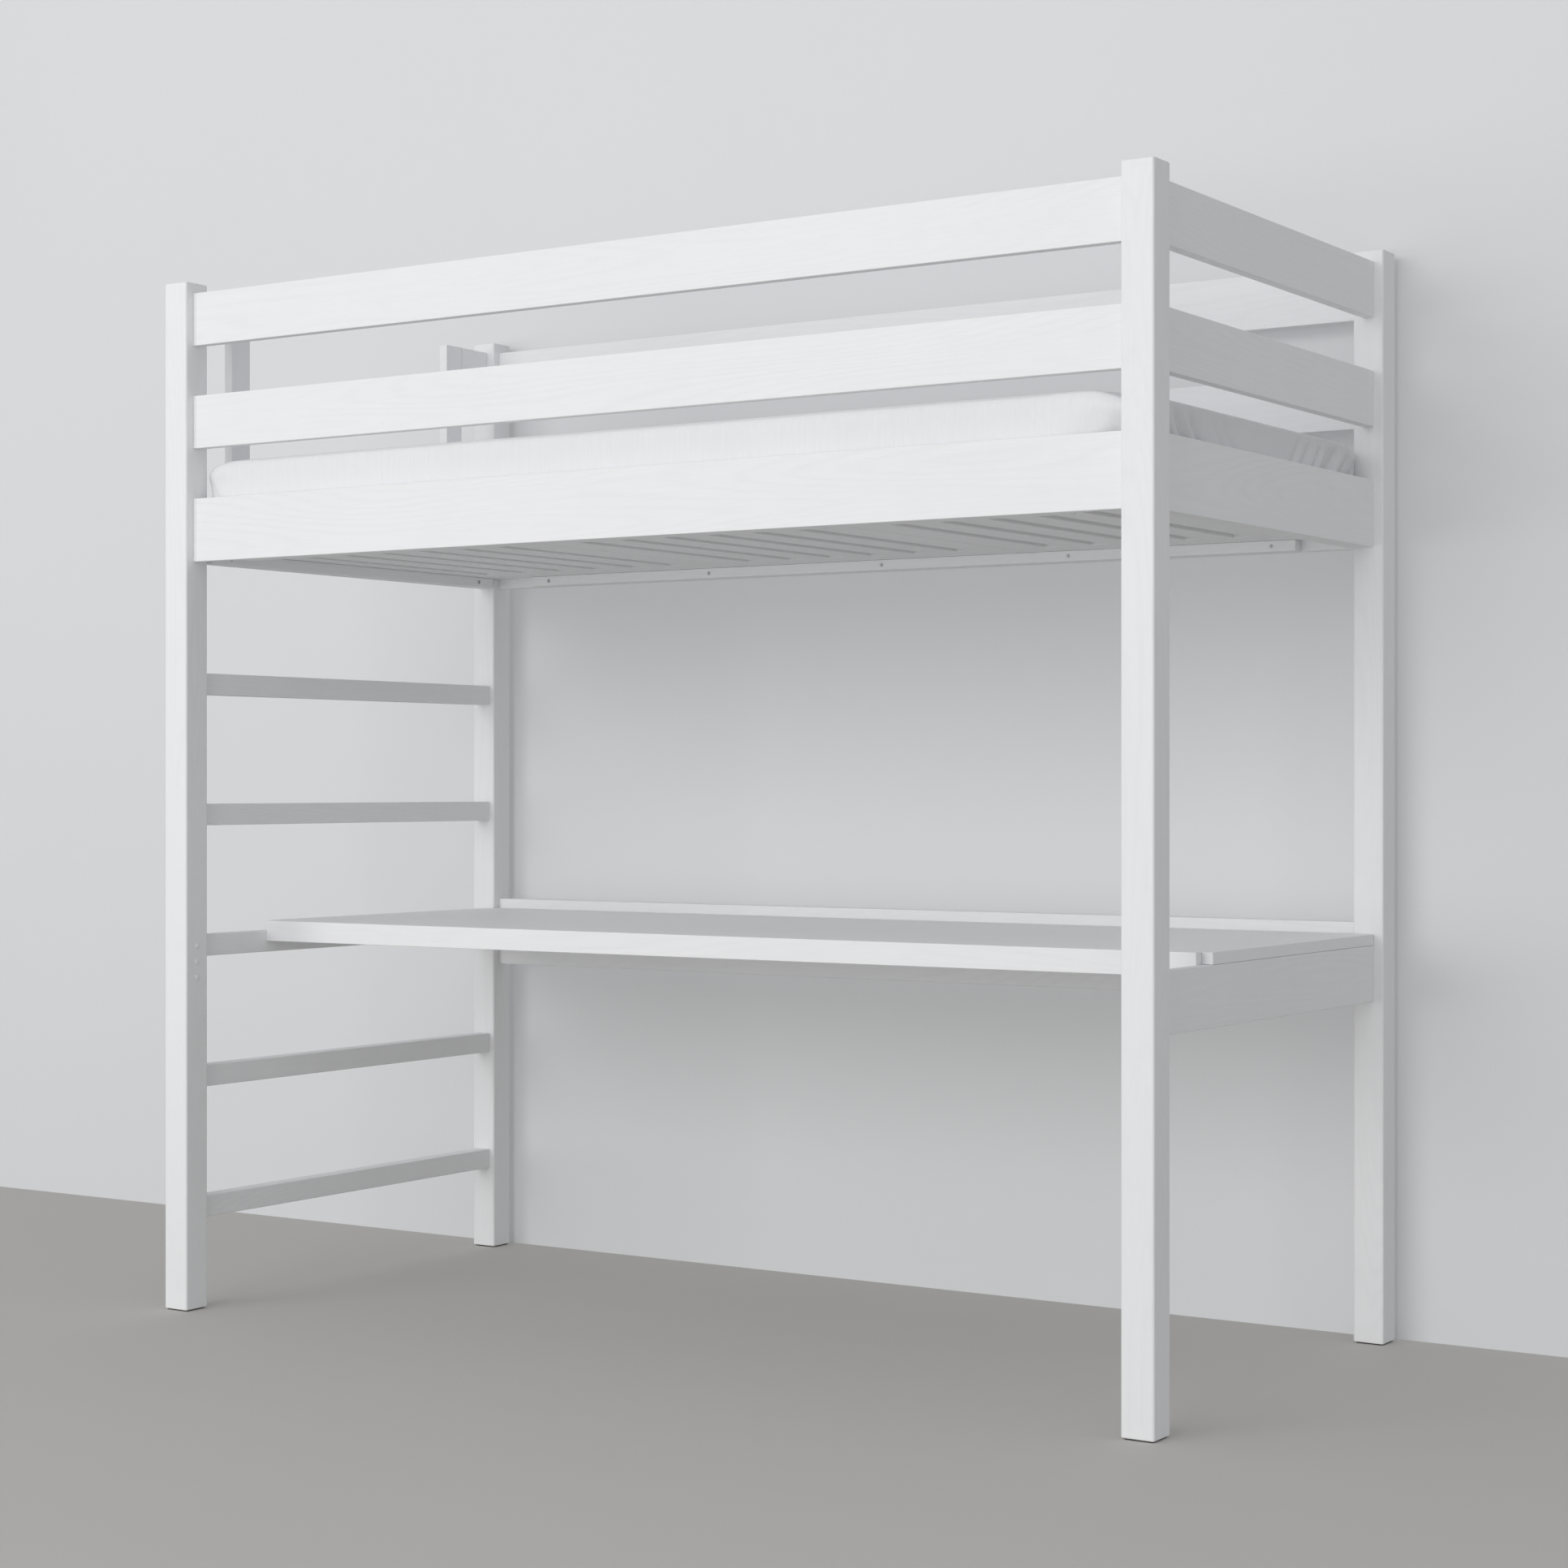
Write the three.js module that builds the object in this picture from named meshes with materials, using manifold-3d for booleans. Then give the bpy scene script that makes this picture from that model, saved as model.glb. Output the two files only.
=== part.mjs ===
// Loft bed with a desk under it, in white painted pine, for one 900 x 2000 mattress.
// Millimetres, +Z up. The origin is on the floor under the middle of the bed. +X runs from the
// ladder end to the open end, and -Y is the front.

import * as THREE from "three";
import { mergeVertices } from "three/addons/utils/BufferGeometryUtils.js";
import Module from "manifold-3d";

const wasm = await Module();
wasm.setup();

// Driving dimensions.
const mattress = {
  length: 2000,
  width: 900,
  thickness: 155,
  edgeRadius: 14,
  clearance: 1.5, // to the rails, all round
  postClearance: 3, // from its round corners to the posts
};
const post = { side: 57, above: 20, edgeRadius: 4.4, endRadius: 2.6 }; // above the top rails
const footPad = { height: 2, inset: 4, cornerRadius: 3 };
const board = { thickness: 20, edgeRadius: 1.4 }; // rails, guards and desk boards
const sideRail = { height: 120, bottom: 1422 };
const guardRail = { height: 100, gap: 95 };
const entry = { opening: 596, boardWidth: 50, topRailHeight: 70 };
const rung = {
  count: 5,
  firstTop: 212,
  headroom: 210, // from the top of the highest rung to the side rail
  height: 41,
  thickness: 34,
  edgeRadius: 2.5,
};
const desk = {
  rungBelow: 3, // the rung that carries the ladder end of the top
  thickness: 20,
  depth: 691, // from the back rail to the lip
  bearing: 11, // length of the top that lies on the rung
  lipHeight: 40,
  endBoardHeight: 100,
  upstand: 20, // of the back rail over the top
  edgeRadius: 1.2,
  postClearance: 1,
};
const cleat = {
  depth: 25,
  height: 20,
  edgeRadius: 1,
  longSetback: 108, // from the posts, along the bed
  endSetback: 11, // from the posts, across the bed
  longScrews: 5,
  endScrews: 2,
  screwInset: 47, // from the cleat's ends
};
const slatPanel = {
  count: 3,
  thickness: 18,
  slats: 7,
  slotWidth: 32,
  slotRadius: 3,
  slotMargin: 116, // from the panel's long edges to the slots' ends
  seam: 3, // between two panels
  edgeRadius: 0.8,
  clearance: 0.5, // to the rails
  postClearance: 2,
};
const screw = {
  headDiameter: 8.4,
  shankDiameter: 4,
  bite: 14, // into the rail
  pointLength: 5,
  recessSpan: 5,
  recessWidth: 1.1,
  recessDepth: 1.6,
};
const cap = {
  count: 3,
  diameter: 12,
  height: 2,
  stemDiameter: 8,
  stemLength: 9,
  pitch: 30,
  drop: 20, // from the desk's bearing height to the highest cap
};
const jointGap = 0.3; // wherever two pieces meet

// Steps in a quarter turn.
const steps = { post: 4, edge: 3, slot: 2, mattressPlan: 6, mattressEdge: 4 };
const roundSegments = 16;

// Places that the pieces share.
const inner = {
  x: mattress.length / 2 + mattress.clearance, // the inner faces of the end boards
  y: mattress.width / 2 + mattress.clearance, // the inner faces of the long rails
};
const boardCentre = { x: inner.x + board.thickness / 2, y: inner.y + board.thickness / 2 };
const postFace = { x: boardCentre.x - post.side / 2, y: boardCentre.y - post.side / 2 };
const guardBottoms = {
  middle: sideRail.bottom + sideRail.height + guardRail.gap,
  top: sideRail.bottom + sideRail.height + guardRail.height + 2 * guardRail.gap,
};
const guardTop = guardBottoms.top + guardRail.height;
const postLength = guardTop + post.above - footPad.height;
const rungPitch = (sideRail.bottom - rung.headroom - rung.firstTop) / (rung.count - 1);
const rungTops = Array.from({ length: rung.count }, (_, i) => rung.firstTop + i * rungPitch);
const rungFace = boardCentre.x - rung.thickness / 2; // the rungs' faces towards the desk
const deskBearing = rungTops[desk.rungBelow - 1];
const deskTop = deskBearing + jointGap + desk.thickness;
const cleatTop = sideRail.bottom + cleat.height;

const ends = { left: -1, right: 1 };
const sides = { front: -1, rear: 1 };
const unit = {
  x: new THREE.Vector3(1, 0, 0),
  y: new THREE.Vector3(0, 1, 0),
  z: new THREE.Vector3(0, 0, 1),
};

const paint = new THREE.Color(0.93, 0.935, 0.94);
const looks = {
  wood: { color: paint, roughness: 0.5, metalness: 0 },
  slatBoard: { color: paint, roughness: 0.55, metalness: 0 },
  cloth: { color: new THREE.Color(0.92, 0.925, 0.94), roughness: 0.95, metalness: 0 },
  pad: { color: new THREE.Color(0.05, 0.05, 0.055), roughness: 0.8, metalness: 0 },
  plastic: { color: new THREE.Color(0.93, 0.93, 0.93), roughness: 0.35, metalness: 0 },
  steel: { color: new THREE.Color(0.35, 0.35, 0.36), roughness: 0.35, metalness: 1 },
};

const bed = new THREE.Group();

function addPiece(group, name, geometry, look, position) {
  const mesh = new THREE.Mesh(geometry, new THREE.MeshStandardMaterial(looks[look]));
  mesh.name = name;
  mesh.position.copy(position);
  group.add(mesh);
  return mesh;
}

function addGroup() {
  const group = new THREE.Group();
  bed.add(group);
  return group;
}

// A rectangle with round corners about the origin, as points in order.
function roundedRectangle(width, height, radius, arcSteps) {
  const points = [];
  const quarter = Math.PI / 2;
  for (let corner = 0; corner < 4; corner++) {
    const middle = (corner + 0.5) * quarter;
    const cx = Math.sign(Math.cos(middle)) * (width / 2 - radius);
    const cy = Math.sign(Math.sin(middle)) * (height / 2 - radius);
    for (let i = 0; i <= arcSteps; i++) {
      const angle = (corner + i / arcSteps) * quarter;
      points.push(
        new THREE.Vector2(cx + radius * Math.cos(angle), cy + radius * Math.sin(angle)),
      );
    }
  }
  return points;
}

// An upright prism about the origin, whose top and bottom edges are rounded by edgeRadius.
function prism(shape, height, edgeRadius = 0, arcSteps = 0) {
  const geometry = new THREE.ExtrudeGeometry(shape, {
    depth: height - 2 * edgeRadius,
    bevelEnabled: edgeRadius > 0,
    bevelThickness: edgeRadius,
    bevelSize: edgeRadius,
    bevelOffset: -edgeRadius,
    bevelSegments: arcSteps,
  });
  return geometry.translate(0, 0, edgeRadius - height / 2);
}

// A straight length of wood about the origin, along one axis, with its long edges eased.
function timber(along, size, radius) {
  const [across, up] = { x: ["y", "z"], y: ["z", "x"], z: ["x", "y"] }[along];
  const section = roundedRectangle(size[across], size[up], radius, steps.edge);
  const geometry = prism(new THREE.Shape(section), size[along]);
  const turn = new THREE.Matrix4().makeBasis(unit[across], unit[up], unit[along]);
  return geometry.applyMatrix4(turn);
}

// A round piece along +Z from its [radius, height] points, which run upwards.
function turned(points) {
  const profile = points.map(([radius, height]) => new THREE.Vector2(radius, height));
  return new THREE.LatheGeometry(profile, roundSegments).rotateX(Math.PI / 2);
}

function toSolid(geometry) {
  const bare = geometry.clone();
  bare.deleteAttribute("normal");
  bare.deleteAttribute("uv");
  const merged = mergeVertices(bare, 1e-4);
  return new wasm.Manifold(
    new wasm.Mesh({
      numProp: 3,
      vertProperties: merged.attributes.position.array,
      triVerts: new Uint32Array(merged.index.array),
    }),
  );
}

function toGeometry(solid) {
  const mesh = solid.getMesh();
  const geometry = new THREE.BufferGeometry();
  geometry.setAttribute("position", new THREE.BufferAttribute(mesh.vertProperties, 3));
  geometry.setIndex(new THREE.BufferAttribute(mesh.triVerts, 1));
  return geometry;
}

// Cuts a piece's geometry with tools in the bed's own frame. Origin is where the piece is placed.
function cut(geometry, origin, tools) {
  const solid = tools.reduce((left, tool) => {
    const placed = tool.clone().translate(-origin.x, -origin.y, -origin.z);
    return left.subtract(toSolid(placed));
  }, toSolid(geometry));
  return toGeometry(solid);
}

// The four posts as cutting tools, grown by a clearance.
function postTools(clearance) {
  const side = post.side + 2 * clearance;
  const tools = [];
  for (const sx of Object.values(ends)) {
    for (const sy of Object.values(sides)) {
      const tool = new THREE.BoxGeometry(side, side, postLength);
      tools.push(
        tool.translate(sx * boardCentre.x, sy * boardCentre.y, footPad.height + postLength / 2),
      );
    }
  }
  return tools;
}

// A tool made along +Z, turned the way that a spot faces and moved to it.
function setAt(geometry, spot) {
  const turn = new THREE.Quaternion().setFromUnitVectors(unit.z, spot.facing);
  const matrix = new THREE.Matrix4().compose(spot.position, turn, new THREE.Vector3(1, 1, 1));
  return geometry.clone().applyMatrix4(matrix);
}

// Where the cleat screws sit: the middle of each head, and the way that it faces.
function screwSpots(wall, count, cleatLength) {
  const height = sideRail.bottom + cleat.height / 2;
  const span = cleatLength - 2 * cleat.screwInset;
  return Array.from({ length: count }, (_, i) => {
    const along = -span / 2 + (span * i) / (count - 1);
    const head = -wall.sign * (jointGap + cleat.depth);
    const position =
      wall.axis === "y"
        ? new THREE.Vector3(along, wall.sign * inner.y + head, height)
        : new THREE.Vector3(wall.sign * inner.x + head, along, height);
    return { position, facing: unit[wall.axis].clone().multiplyScalar(-wall.sign) };
  });
}

const walls = {
  front: { axis: "y", sign: sides.front },
  rear: { axis: "y", sign: sides.rear },
  left: { axis: "x", sign: ends.left },
  right: { axis: "x", sign: ends.right },
};
for (const wall of Object.values(walls)) {
  const isLong = wall.axis === "y";
  const setback = isLong ? cleat.longSetback : cleat.endSetback;
  const count = isLong ? cleat.longScrews : cleat.endScrews;
  wall.cleatLength = 2 * ((isLong ? postFace.x : postFace.y) - setback);
  wall.screws = screwSpots(wall, count, wall.cleatLength);
}

// A countersunk wood screw, its head's flat at the origin facing +Z.
function screwProfile(growth) {
  const head = screw.headDiameter / 2 + growth;
  const shank = screw.shankDiameter / 2 + growth;
  const tip = -cleat.depth - jointGap - screw.bite - growth;
  const coneDepth = head - shank;
  return [
    [0, tip],
    [shank, tip + screw.pointLength],
    [shank, -coneDepth],
    [head, 0],
  ];
}

function screwGeometry() {
  const body = turned([...screwProfile(0), [0, 0]]);
  const slots = [0, Math.PI / 2].map((angle) =>
    new THREE.BoxGeometry(screw.recessSpan, screw.recessWidth, 2 * screw.recessDepth).rotateZ(
      angle,
    ),
  );
  return cut(body, new THREE.Vector3(), slots);
}

function screwHole() {
  const mouth = screw.headDiameter / 2 + jointGap;
  return turned([...screwProfile(jointGap), [mouth, screw.recessDepth], [0, screw.recessDepth]]);
}

function screwHoles(wall) {
  return wall.screws.map((spot) => setAt(screwHole(), spot));
}

// Where the cover caps sit, on the ladder-end front post's face towards the desk.
const capSpots = Array.from({ length: cap.count }, (_, i) => ({
  position: new THREE.Vector3(
    -postFace.x,
    -boardCentre.y,
    deskBearing - cap.drop - (cap.count - 1 - i) * cap.pitch,
  ),
  facing: unit.x,
}));

// Four square posts, each with an eased top and bottom, on thin pads.
function addPosts() {
  const group = addGroup();
  const section = new THREE.Shape(
    roundedRectangle(post.side, post.side, post.edgeRadius, steps.post),
  );
  const padSide = post.side - 2 * footPad.inset;
  const padSection = new THREE.Shape(
    roundedRectangle(padSide, padSide, footPad.cornerRadius, steps.edge),
  );
  const padThickness = footPad.height - jointGap;
  for (const [end, sx] of Object.entries(ends)) {
    for (const [side, sy] of Object.entries(sides)) {
      const x = sx * boardCentre.x;
      const y = sy * boardCentre.y;
      const place = new THREE.Vector3(x, y, footPad.height + postLength / 2);
      let geometry = prism(section, postLength, post.endRadius, steps.edge);
      if (end === "left" && side === "front") {
        geometry = cut(geometry, place, capSpots.map((spot) => setAt(capHole(), spot)));
      }
      addPiece(group, `post_${side}_${end}`, geometry, "wood", place);
      const pad = prism(padSection, padThickness);
      const padPlace = new THREE.Vector3(x, y, padThickness / 2);
      addPiece(group, `foot_pad_${side}_${end}`, pad, "pad", padPlace);
    }
  }
}

// A board that stands on edge between two posts, in the middle of their thickness.
function addRail(group, name, wall, bottom, height, tools = []) {
  const isLong = wall.axis === "y";
  const length = 2 * ((isLong ? postFace.x : postFace.y) - jointGap);
  const place = new THREE.Vector3(0, 0, bottom + height / 2);
  place[wall.axis] = wall.sign * boardCentre[wall.axis];
  const size = isLong
    ? { x: length, y: board.thickness, z: height }
    : { x: board.thickness, y: length, z: height };
  let geometry = timber(isLong ? "x" : "y", size, board.edgeRadius);
  if (tools.length) {
    geometry = cut(geometry, place, tools);
  }
  addPiece(group, name, geometry, "wood", place);
}

// Side rails all round, and guard rails everywhere but at the ladder end.
function addRails() {
  const group = addGroup();
  for (const [side, wall] of Object.entries(walls)) {
    const holes = screwHoles(wall);
    addRail(group, `side_rail_${side}`, wall, sideRail.bottom, sideRail.height, holes);
    if (side !== "left") {
      for (const [level, bottom] of Object.entries(guardBottoms)) {
        addRail(group, `guard_rail_${level}_${side}`, wall, bottom, guardRail.height);
      }
    }
  }
}

// The ladder end: rungs between the posts, and a guard board on each side of the way in.
function addLadderEnd() {
  const group = addGroup();
  const x = -boardCentre.x;
  const rungSize = {
    x: rung.thickness,
    y: 2 * (postFace.y - jointGap),
    z: rung.height,
  };
  rungTops.forEach((top, i) => {
    const place = new THREE.Vector3(x, 0, top - rung.height / 2);
    addPiece(group, `rung_${i + 1}`, timber("y", rungSize, rung.edgeRadius), "wood", place);
  });

  const bottom = sideRail.bottom + sideRail.height + jointGap;
  const boardSize = { x: board.thickness, y: entry.boardWidth, z: guardTop - bottom };
  const boardEdge = entry.opening / 2 + entry.boardWidth;
  const railSize = {
    x: board.thickness,
    y: postFace.y - boardEdge - 2 * jointGap,
    z: entry.topRailHeight,
  };
  for (const [side, sy] of Object.entries(sides)) {
    const boardPlace = new THREE.Vector3(
      x,
      sy * (boardEdge - entry.boardWidth / 2),
      bottom + boardSize.z / 2,
    );
    const upright = timber("z", boardSize, board.edgeRadius);
    addPiece(group, `entry_board_${side}`, upright, "wood", boardPlace);
    const railPlace = new THREE.Vector3(
      x,
      (sy * (boardEdge + postFace.y)) / 2,
      guardTop - entry.topRailHeight / 2,
    );
    const short = timber("y", railSize, board.edgeRadius);
    addPiece(group, `entry_top_rail_${side}`, short, "wood", railPlace);
  }
}

// The desk: a top on a rung, an end board and a back rail, with a lip along its front edge.
function addDesk() {
  const group = addGroup();
  const left = -rungFace - desk.bearing;
  const right = inner.x + board.thickness;
  const back = inner.y - jointGap;
  const front = inner.y - desk.depth;
  const topSize = { x: right - left, y: back - front, z: desk.thickness };
  const topPlace = new THREE.Vector3(
    (left + right) / 2,
    (front + back) / 2,
    deskTop - desk.thickness / 2,
  );
  const outline = roundedRectangle(topSize.x, topSize.y, desk.edgeRadius, 1);
  const slab = prism(new THREE.Shape(outline), topSize.z, desk.edgeRadius, steps.edge);
  const top = cut(slab, topPlace, postTools(desk.postClearance));
  addPiece(group, "desk_top", top, "wood", topPlace);

  const lipLeft = -rungFace + jointGap;
  const lipRight = inner.x - jointGap;
  const lipSize = { x: lipRight - lipLeft, y: board.thickness, z: desk.lipHeight };
  const lipPlace = new THREE.Vector3(
    (lipLeft + lipRight) / 2,
    front - jointGap - board.thickness / 2,
    deskTop - desk.lipHeight / 2,
  );
  addPiece(group, "desk_lip", timber("x", lipSize, board.edgeRadius), "wood", lipPlace);

  const endBottom = deskBearing - desk.endBoardHeight;
  addRail(group, "desk_end_board", walls.right, endBottom, desk.endBoardHeight);
  addRail(group, "desk_back_rail", walls.rear, endBottom, deskTop + desk.upstand - endBottom);
}

// Ledges inside the side rails, each held by a row of screws.
function addCleats() {
  const group = addGroup();
  for (const [side, wall] of Object.entries(walls)) {
    const isLong = wall.axis === "y";
    const place = new THREE.Vector3(0, 0, cleatTop - cleat.height / 2);
    place[wall.axis] = wall.sign * (inner[wall.axis] - jointGap - cleat.depth / 2);
    const size = isLong
      ? { x: wall.cleatLength, y: cleat.depth, z: cleat.height }
      : { x: cleat.depth, y: wall.cleatLength, z: cleat.height };
    const stick = timber(isLong ? "x" : "y", size, cleat.edgeRadius);
    addPiece(group, `cleat_${side}`, cut(stick, place, screwHoles(wall)), "wood", place);
    wall.screws.forEach((spot, i) => {
      const mesh = addPiece(
        group,
        `cleat_screw_${side}_${i + 1}`,
        screwGeometry(),
        "steel",
        spot.position,
      );
      mesh.quaternion.setFromUnitVectors(unit.z, spot.facing);
    });
  }
}

// Three slotted panels side by side on the cleats. A seam falls where a slot would.
function addSlattedBase() {
  const group = addGroup();
  const length = 2 * (inner.x - slatPanel.clearance);
  const pitch = (length + slatPanel.seam) / slatPanel.count;
  const panelLength = pitch - slatPanel.seam;
  const width = 2 * (inner.y - slatPanel.clearance);
  const slotPitch = pitch / slatPanel.slats;
  const slotLength = width - 2 * slatPanel.slotMargin;
  const slot = roundedRectangle(
    slatPanel.slotWidth,
    slotLength,
    slatPanel.slotRadius,
    steps.slot,
  );
  const z = cleatTop + jointGap + slatPanel.thickness / 2;
  for (let i = 0; i < slatPanel.count; i++) {
    const shape = new THREE.Shape(roundedRectangle(panelLength, width, slatPanel.edgeRadius, 1));
    for (let k = 1; k < slatPanel.slats; k++) {
      const x = (k - slatPanel.slats / 2) * slotPitch;
      const points = slot.map((point) => new THREE.Vector2(point.x + x, point.y));
      shape.holes.push(new THREE.Path(points));
    }
    const place = new THREE.Vector3((i - (slatPanel.count - 1) / 2) * pitch, 0, z);
    const slab = prism(shape, slatPanel.thickness, slatPanel.edgeRadius, 1);
    const panel = cut(slab, place, postTools(slatPanel.postClearance));
    addPiece(group, `slat_panel_${i + 1}`, panel, "slatBoard", place);
  }
}

// The mattress's round corners keep their clearance to the posts, which stand into the bed.
function addMattress() {
  const standIn = inner.x - mattress.clearance - postFace.x;
  const cornerRadius =
    (Math.SQRT2 * standIn + mattress.postClearance) / (Math.SQRT2 - 1);
  const outline = roundedRectangle(
    mattress.length,
    mattress.width,
    cornerRadius,
    steps.mattressPlan,
  );
  const shape = new THREE.Shape(outline);
  const block = prism(shape, mattress.thickness, mattress.edgeRadius, steps.mattressEdge);
  const bottom = cleatTop + slatPanel.thickness + 2 * jointGap;
  const place = new THREE.Vector3(0, 0, bottom + mattress.thickness / 2);
  addPiece(addGroup(), "mattress", block, "cloth", place);
}

// Raised cover caps over the spare holes in the ladder-end front post.
function capHole() {
  const radius = cap.stemDiameter / 2 + jointGap;
  const depth = cap.stemLength + jointGap;
  return turned([
    [0, -depth],
    [radius, -depth],
    [radius, cap.height],
    [0, cap.height],
  ]);
}

function capGeometry() {
  const stem = cap.stemDiameter / 2;
  const points = [
    [0, -cap.stemLength],
    [stem, -cap.stemLength],
    [stem, jointGap],
    [cap.diameter / 2, jointGap],
  ];
  const domeHeight = cap.height - jointGap;
  for (let i = 1; i <= steps.edge; i++) {
    const angle = (i / steps.edge) * (Math.PI / 2);
    points.push([
      (cap.diameter / 2) * Math.cos(angle),
      jointGap + domeHeight * Math.sin(angle),
    ]);
  }
  points[points.length - 1][0] = 0;
  return turned(points);
}

function addCaps() {
  const group = addGroup();
  capSpots.forEach((spot, i) => {
    const mesh = addPiece(group, `cover_cap_${i + 1}`, capGeometry(), "plastic", spot.position);
    mesh.quaternion.setFromUnitVectors(unit.z, spot.facing);
  });
}

addPosts();
addRails();
addLadderEnd();
addDesk();
addCleats();
addSlattedBase();
addMattress();
addCaps();

export default bed;
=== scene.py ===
from math import pi, radians

import bmesh
import bpy
import numpy as np
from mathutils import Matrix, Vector, noise


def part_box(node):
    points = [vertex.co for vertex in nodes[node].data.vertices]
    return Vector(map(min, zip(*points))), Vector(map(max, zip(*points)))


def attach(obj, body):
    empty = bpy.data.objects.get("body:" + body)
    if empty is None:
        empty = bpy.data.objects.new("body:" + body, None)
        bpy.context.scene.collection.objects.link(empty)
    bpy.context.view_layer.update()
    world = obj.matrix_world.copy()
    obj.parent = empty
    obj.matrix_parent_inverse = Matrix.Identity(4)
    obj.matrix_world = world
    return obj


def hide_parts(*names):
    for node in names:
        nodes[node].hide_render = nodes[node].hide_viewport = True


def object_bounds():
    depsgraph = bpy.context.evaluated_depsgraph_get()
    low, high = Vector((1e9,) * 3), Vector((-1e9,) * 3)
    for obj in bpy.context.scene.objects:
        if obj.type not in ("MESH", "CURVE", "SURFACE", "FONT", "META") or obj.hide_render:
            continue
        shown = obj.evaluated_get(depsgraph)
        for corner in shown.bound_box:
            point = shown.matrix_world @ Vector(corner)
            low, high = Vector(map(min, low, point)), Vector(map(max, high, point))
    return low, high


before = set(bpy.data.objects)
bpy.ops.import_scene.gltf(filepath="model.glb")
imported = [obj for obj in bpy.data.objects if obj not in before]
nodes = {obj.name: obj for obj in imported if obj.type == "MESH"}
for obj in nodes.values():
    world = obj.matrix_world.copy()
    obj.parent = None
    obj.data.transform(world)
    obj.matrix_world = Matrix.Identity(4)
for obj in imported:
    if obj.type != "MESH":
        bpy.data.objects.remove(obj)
cadBox = [list(corner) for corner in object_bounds()]
print("bed loaded:", len(nodes), "nodes")


# camera, light and floor

cameraPlace = {
    "location": (2.9991, -4.5064, 1.0),  # low, so the bed is seen from a little below
    "turn": 33.21,                       # degrees from looking straight at the long side
    "lens": 67.18,
    "sensor": 36,
}

studio = {
    "fillFront": (0.600, 0.607, 0.620),      # light from the open side of the room
    "fillRear": (0.465, 0.472, 0.483),
    "surroundLow": (0.47, 0.472, 0.476),     # seen at and below the horizon
    "surroundHigh": (0.655, 0.665, 0.685),   # seen overhead
    "keyWatts": 382,
    "keySize": (9.0, 6.0),
    "keyTurn": -10,      # degrees left of the long side
    "keyHeight": 9,      # degrees above the horizon
    "lampColour": (1.0, 0.995, 0.985),
    "lampDistance": 9.0,
    "rearWatts": 25,     # a faint light that shapes the rear faces
    "rearSize": (6.0, 2.5),
    "rearTurn": 212,
    "rearHeight": 5,
    "aimHeight": 1.2,
    "floorRadius": 12.0,
    "floorSolid": 3.0,   # beyond this the floor fades into the surround
    "floorColour": (0.575, 0.563, 0.540),
    "wallGap": 0.02,     # behind the bed
    "wallSize": (18.0, 5.2),
    "wallSolid": (6.0, 3.8),
    "wallColour": (0.735, 0.743, 0.755),
    "wallGlow": 0.035,   # stands for the light that the rest of the room throws back
}


def placeCamera():
    lensData = bpy.data.cameras.new("roomCamera")
    lensData.sensor_width = cameraPlace["sensor"]
    lensData.lens = cameraPlace["lens"]
    camera = bpy.data.objects.new("roomCamera", lensData)
    camera.location = cameraPlace["location"]
    camera.rotation_euler = (radians(90), 0, radians(cameraPlace["turn"]))
    bpy.context.scene.collection.objects.link(camera)
    bpy.context.scene.camera = camera


def addNode(tree, kind, **settings):
    node = tree.nodes.new(kind)
    for name, value in settings.items():
        setattr(node, name, value)
    return node


def feed(tree, socket, value):
    if isinstance(value, bpy.types.NodeSocket):
        tree.links.new(value, socket)
    elif value is not None:
        socket.default_value = value


def maths(tree, operation, a, b=None, c=None, clamp=False):
    node = addNode(tree, "ShaderNodeMath", operation=operation, use_clamp=clamp)
    for socket, value in zip(node.inputs, (a, b, c)):
        feed(tree, socket, value)
    return node.outputs[0]


def vectorMaths(tree, operation, a, b=None):
    node = addNode(tree, "ShaderNodeVectorMath", operation=operation)
    for socket, value in zip(node.inputs, (a, b)):
        feed(tree, socket, value)
    return node.outputs["Value"] if operation in ("DOT_PRODUCT", "LENGTH") else node.outputs["Vector"]


def spread(tree, value, low, high, toLow=0.0, toHigh=1.0, smooth=True):
    node = addNode(tree, "ShaderNodeMapRange")
    node.interpolation_type = "SMOOTHSTEP" if smooth else "LINEAR"
    for name, given in (("Value", value), ("From Min", low), ("From Max", high),
                        ("To Min", toLow), ("To Max", toHigh)):
        feed(tree, node.inputs[name], given)
    return node.outputs["Result"]


def cloudy(tree, vector, scale=1.0, detail=2.0, roughness=0.5, distortion=0.0):
    node = addNode(tree, "ShaderNodeTexNoise")
    for name, given in (("Vector", vector), ("Scale", scale), ("Detail", detail),
                        ("Roughness", roughness), ("Distortion", distortion)):
        feed(tree, node.inputs[name], given)
    return node.outputs["Fac"]


def mixColours(tree, share, a, b):
    node = addNode(tree, "ShaderNodeMix", data_type="RGBA")
    feed(tree, node.inputs["Factor"], share)
    feed(tree, node.inputs[6], a)
    feed(tree, node.inputs[7], b)
    return node.outputs[2]


def startGroup(name, inputs, outputs):
    tree = bpy.data.node_groups.new(name, "ShaderNodeTree")
    for label, kind, value in inputs:
        socket = tree.interface.new_socket(name=label, in_out="INPUT", socket_type=kind)
        if value is not None:
            socket.default_value = value
    for label, kind in outputs:
        tree.interface.new_socket(name=label, in_out="OUTPUT", socket_type=kind)
    given = tree.nodes.new("NodeGroupInput").outputs
    result = tree.nodes.new("NodeGroupOutput").inputs
    return tree, given, result


def useGroup(tree, group, **values):
    node = addNode(tree, "ShaderNodeGroup", node_tree=group)
    for name, value in values.items():
        feed(tree, node.inputs[name], value)
    return node.outputs


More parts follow.
